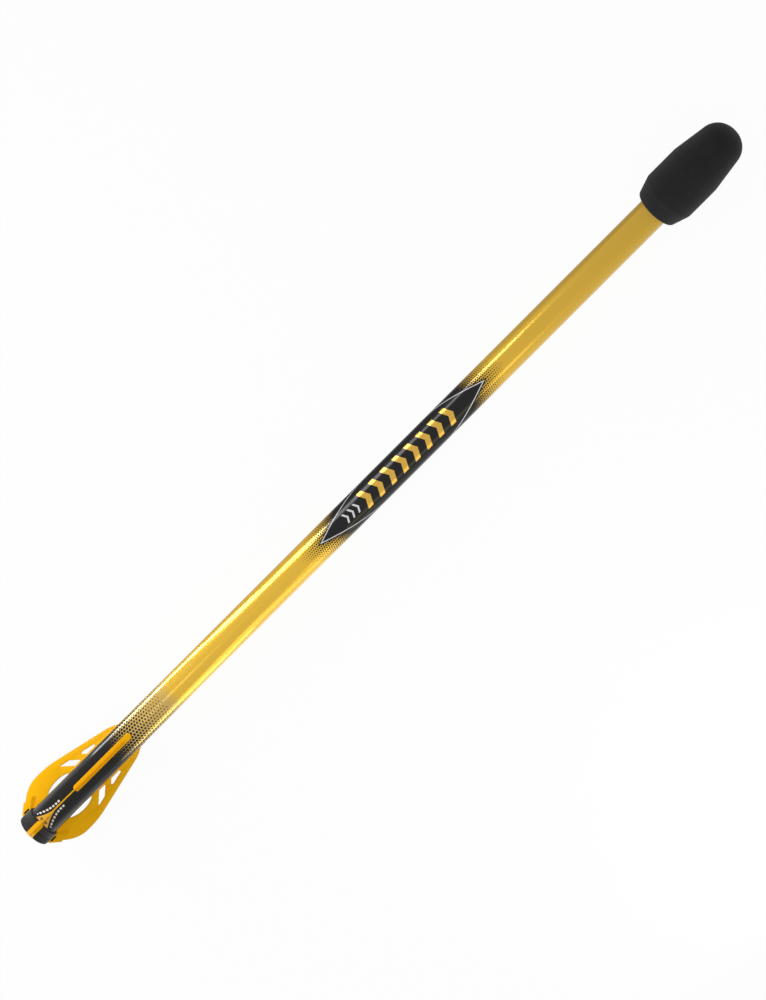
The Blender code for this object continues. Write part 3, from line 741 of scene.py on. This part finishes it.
class MakeCollar(bpy.types.Operator):
    """Make the tail cap with its grip ribs, and the lock ring with its keyways"""

    bl_idname = "javelin.make_collar"
    bl_label = "Tail collar"

    def execute(self, context):
        sizes = context.scene.javelin_sizes
        radius = -cap_low.z
        beyond = radius + 2.0 * CUT_MARGIN
        tone = context.scene.javelin_colours.collar
        finish = plastic_finish("black_collar_plastic", tone, 0.50, 0.00006, 0.10)

        front = ring_low.x - CLEARANCE
        cap_outline = rounded([
            (0.0, 0.0, 0.0),
            (0.0, radius, CAP_REAR_ROUND),
            (front, radius, SEAM_ROUND),
            (front, 0.0, 0.0),
        ], turn=math.radians(9.0))
        cap = turned("ribbed_cap", cap_outline, sizes.grip_count * STEPS_PER_GRIP)
        press_grips(cap, sizes.grip_count, sizes.grip_depth)
        rear, ahead = -CUT_MARGIN, front + CUT_MARGIN
        for turn in FIN_TURNS:
            low = (rear, -KEYWAY_HALF_NECK, FOOT_TOP)
            cut_box(cap, low, (ahead, KEYWAY_HALF_NECK, beyond), turn)
        smooth(cap)
        dress(cap, finish, "black_plastic", "tail_cap")

        ring_outline = rounded([
            (ring_low.x, RING_BORE, 0.0),
            (ring_low.x, radius, SEAM_ROUND),
            (ring_high.x, radius, RING_FRONT_ROUND),
            (ring_high.x, RING_BORE, 0.0),
        ], turn=math.radians(15.0))
        ring_outline.append(ring_outline[0].copy())
        ring = turned("lock_ring", ring_outline, sizes.steps)
        rear, ahead = ring_low.x - CUT_MARGIN, ring_high.x + CUT_MARGIN
        for turn in FIN_TURNS:
            low = (rear, -KEYWAY_HALF_NECK, NECK_FLOOR)
            cut_box(ring, low, (ahead, KEYWAY_HALF_NECK, beyond), turn)
            low = (rear, -KEYWAY_HALF_FOOT, FOOT_FLOOR)
            cut_box(ring, low, (ahead, KEYWAY_HALF_FOOT, FOOT_TOP), turn)
        smooth(ring)
        dress(ring, finish, "black_plastic", "fin_lock_ring")
        return {"FINISHED"}


class MakeFins(bpy.types.Operator):
    """Make the three fins with rounded edges"""

    bl_idname = "javelin.make_fins"
    bl_label = "Fins"

    def execute(self, context):
        sizes = context.scene.javelin_sizes
        finish = fin_finish(context.scene.javelin_colours)
        for node in ("fin_1", "fin_2", "fin_3"):
            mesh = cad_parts[node].data.copy()
            fin = bpy.data.objects.new(f"moulded_{node}", mesh)
            context.scene.collection.objects.link(fin)
            pick(fin)
            bpy.ops.object.mode_set(mode="EDIT")
            bpy.ops.mesh.customdata_custom_splitnormals_clear()
            bpy.ops.mesh.select_all(action="SELECT")
            bpy.ops.mesh.remove_doubles(threshold=0.00001)
            bpy.ops.mesh.dissolve_limited(angle_limit=math.radians(1.0))
            bpy.ops.object.mode_set(mode="OBJECT")
            edges = fin.modifiers.new("edges", "BEVEL")
            edges.width = sizes.edge_round
            edges.segments = 2
            edges.limit_method = "ANGLE"
            edges.angle_limit = math.radians(35.0)
            bpy.ops.object.modifier_apply(modifier=edges.name)
            smooth(fin, 40.0)
            dress(fin, finish, "orange_plastic", node)
        return {"FINISHED"}


class FinishInnerPieces(bpy.types.Operator):
    """Give the core, socket, plug and weight their finishes"""

    bl_idname = "javelin.finish_inner_pieces"
    bl_label = "Inner pieces"

    def execute(self, context):
        colours = context.scene.javelin_colours
        black = plastic_finish("black_inner_plastic", colours.collar, 0.52, 0.00004)
        grey = plastic_finish("grey_plug_plastic", colours.plug, 0.55, 0.00004)
        finishes = {
            "tail_core": black,
            "head_socket": black,
            "front_plug": grey,
            "nose_weight": steel_finish(colours),
        }
        for node, finish in finishes.items():
            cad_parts[node].data.materials.clear()
            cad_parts[node].data.materials.append(finish)
        return {"FINISHED"}


class MakeStage(bpy.types.Operator):
    """Make the pale floor, the soft lights and the camera"""

    bl_idname = "javelin.make_stage"
    bl_label = "Stage"

    def execute(self, context):
        make_floor(context)
        make_world(context)
        make_lights()
        make_camera(context)
        return {"FINISHED"}


def shown_directly(tree):
    """Output that is 1 for camera, glossy and transmission rays, and 0 for rays that only light."""
    path = tree.nodes.new("ShaderNodeLightPath")
    seen = path.outputs["Is Camera Ray"]
    for other in ("Is Glossy Ray", "Is Transmission Ray"):
        either = tree.nodes.new("ShaderNodeMath")
        either.operation = "MAXIMUM"
        tree.links.new(seen, either.inputs[0])
        tree.links.new(path.outputs[other], either.inputs[1])
        seen = either.outputs[0]
    return seen


def mirrored_floor(finish):
    """Floor's level in reflections: dimmer left of the shaft, brighter on its right and at the tail."""
    axes = finish.axes()
    left = finish.both(finish.ramp(axes["Y"], 0.0, 0.03), finish.ramp(axes["X"], 0.08, 0.11))
    right = finish.both(
        finish.ramp(axes["Y"], -0.03, 0.0, 1.0, 0.0),
        finish.ramp(axes["X"], 0.17, 0.21),
        finish.ramp(axes["X"], 0.36, 0.48, 1.0, 0.2),
    )
    rear = finish.ramp(axes["X"], 0.04, 0.08, 1.0, 0.0)
    level = finish.number("MULTIPLY_ADD", left, LEFT_CHANGE, 1.0)
    level = finish.number("MULTIPLY_ADD", right, RIGHT_CHANGE, level)
    return finish.number("MULTIPLY_ADD", rear, REAR_CHANGE, level)


def make_floor(context):
    """Pale floor under the javelin, shown nearly white, whose reflected level varies by place."""
    start_piece()
    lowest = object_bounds()[0].z - FLOOR_GAP
    bpy.ops.mesh.primitive_plane_add(size=FLOOR_SIDE, location=(0.0, 0.0, lowest))
    floor = context.object
    floor.name = "floor"
    finish = Finish("pale_floor")
    colour_in = rgba(context.scene.javelin_colours.floor)
    finish.surface(Base_Color=colour_in, Roughness=0.9, Specular_IOR_Level=0.0)
    seen = finish.node("ShaderNodeLightPath", {}).outputs["Is Camera Ray"]
    level = finish.ramp(seen, 0.0, 1.0, mirrored_floor(finish), 1.0)
    glow = finish.node("ShaderNodeEmission", {"Strength": level}).outputs[0]
    share = finish.number("MULTIPLY", shown_directly(finish.tree), FLOOR_GLOW)
    mix = finish.node("ShaderNodeMixShader", {0: share, 1: finish.shader.outputs[0], 2: glow})
    output = finish.tree.nodes["Material Output"]
    finish.feed(output.inputs["Surface"], mix.outputs[0])
    floor.data.materials.append(finish.material)
    floor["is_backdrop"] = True


def make_world(context):
    """White surroundings to look at, and a softer level as light."""
    world = bpy.data.worlds.new("studio")
    world.use_nodes = True
    tree = world.node_tree
    background = tree.nodes["Background"]
    background.inputs["Color"].default_value = rgba(WHITE)
    level = tree.nodes.new("ShaderNodeMapRange")
    level.inputs["To Min"].default_value = WORLD_LIGHT
    level.inputs["To Max"].default_value = 1.0
    tree.links.new(shown_directly(tree), level.inputs["Value"])
    tree.links.new(level.outputs["Result"], background.inputs["Strength"])
    context.scene.world = world


def add_light(name, ends, target, width, level, tone=WHITE):
    """Soft strip between two end points, facing a target, at a level where 1 looks white."""
    start, end = Vector(ends[0]), Vector(ends[1])
    middle = (start + end) / 2.0
    long_side = (end - start).normalized()
    away = (middle - Vector(target)).normalized()
    away = (away - long_side * away.dot(long_side)).normalized()
    turn = Matrix((long_side, away.cross(long_side), away)).transposed()
    bpy.ops.object.light_add(type="AREA", location=middle, rotation=turn.to_euler())
    light = bpy.context.object
    light.name = name
    light.data.shape = "RECTANGLE"
    light.data.size = (end - start).length
    light.data.size_y = width
    light.data.color = tone
    light.data.energy = level * math.pi * width * light.data.size
    light.visible_camera = False
    return light


def add_strip(name, along, angles, away, spread, level, tone=WHITE):
    """Strip beside the shaft that only makes a highlight, placed by angles from straight up."""
    ends = [
        (x, away * math.sin(math.radians(angle)), away * math.cos(math.radians(angle)))
        for x, angle in zip(along, angles)
    ]
    width = 2.0 * away * math.tan(math.radians(spread) / 2.0)
    strip = add_light(name, ends, (sum(along) / 2.0, 0.0, 0.0), width, level, tone)
    strip.visible_diffuse = False


def make_lights():
    """Broad key light on the left, a fill on the right, and strips that only make highlights."""
    start_piece()
    key = add_light("key", ((-0.45, 0.73, 0.44), (0.05, 0.73, 0.44)), (0.0, 0.0, 0.0), 0.50, 5.3)
    key.visible_glossy = False
    fill = add_light("fill", ((0.40, -0.5, 0.18), (0.72, -0.5, 0.18)), (0.6, 0.0, 0.0), 0.36, 1.7)
    fill.visible_glossy = False
    for strip in LEFT_STRIPS:
        add_strip(*strip)
    for strip in RIGHT_STRIPS:
        add_strip(*strip, tone=WARM_WHITE)
    add_strip(*TOP_STRIP)


def make_camera(context):
    """Long lens that looks down at the shaft, with the head tipped towards it."""
    tilt = math.radians(19.5)
    roll = math.radians(1.1)
    toward = Vector((math.sin(tilt), 0.0, math.cos(tilt)))
    toward = Matrix.Rotation(roll, 3, "X") @ toward
    lens = 1200.0
    sensor = 36.0
    frame_height = 0.9494
    frame_middle = Vector((0.4878, -0.0122, 0.0))
    distance = frame_height * lens / sensor
    shaft = Vector((1.0, 0.0, 0.0))
    across = (shaft - toward * shaft.dot(toward)).normalized()
    side = toward.cross(across)
    right = (across - side).normalized()
    up = toward.cross(right)
    turn = Matrix((right, up, toward)).transposed()
    bpy.ops.object.camera_add(
        location=frame_middle + toward * distance, rotation=turn.to_euler()
    )
    camera = context.object
    camera.name = "photo_camera"
    camera.data.lens = lens
    camera.data.sensor_width = sensor
    camera.data.clip_start = 1.0
    camera.data.clip_end = 200.0
    context.scene.camera = camera
    context.scene.view_settings.view_transform = "Standard"


class JavelinPanel(bpy.types.Panel):
    """Lists the makers of the javelin's pieces and their settings"""

    bl_idname = "VIEW3D_PT_javelin"
    bl_label = "Javelin"
    bl_space_type = "VIEW_3D"
    bl_region_type = "UI"
    bl_category = "Javelin"

    def draw(self, context):
        for settings in (context.scene.javelin_sizes, context.scene.javelin_colours):
            box = self.layout.box()
            for name in settings.bl_rna.properties.keys():
                if name not in ("name", "rna_type"):
                    box.prop(settings, name)
        for maker in MAKERS:
            self.layout.operator(maker.bl_idname)


MAKERS = (MakeTube, MakeFoamHead, MakeCollar, MakeFins, FinishInnerPieces, MakeStage)
CLASSES = (JavelinSizes, JavelinColours, *MAKERS, JavelinPanel)


def register():
    """Register the classes and hang the settings on the scene."""
    for item in CLASSES:
        bpy.utils.register_class(item)
    bpy.types.Scene.javelin_sizes = PointerProperty(type=JavelinSizes)
    bpy.types.Scene.javelin_colours = PointerProperty(type=JavelinColours)


def unregister():
    """Take the settings and the classes away again."""
    del bpy.types.Scene.javelin_colours
    del bpy.types.Scene.javelin_sizes
    for item in reversed(CLASSES):
        bpy.utils.unregister_class(item)


def main():
    """Make every piece and the stage."""
    register()
    bpy.ops.javelin.make_tube()
    bpy.ops.javelin.make_foam_head()
    bpy.ops.javelin.make_collar()
    bpy.ops.javelin.make_fins()
    bpy.ops.javelin.finish_inner_pieces()
    bpy.ops.javelin.make_stage()


if __name__ == "__main__":
    main()
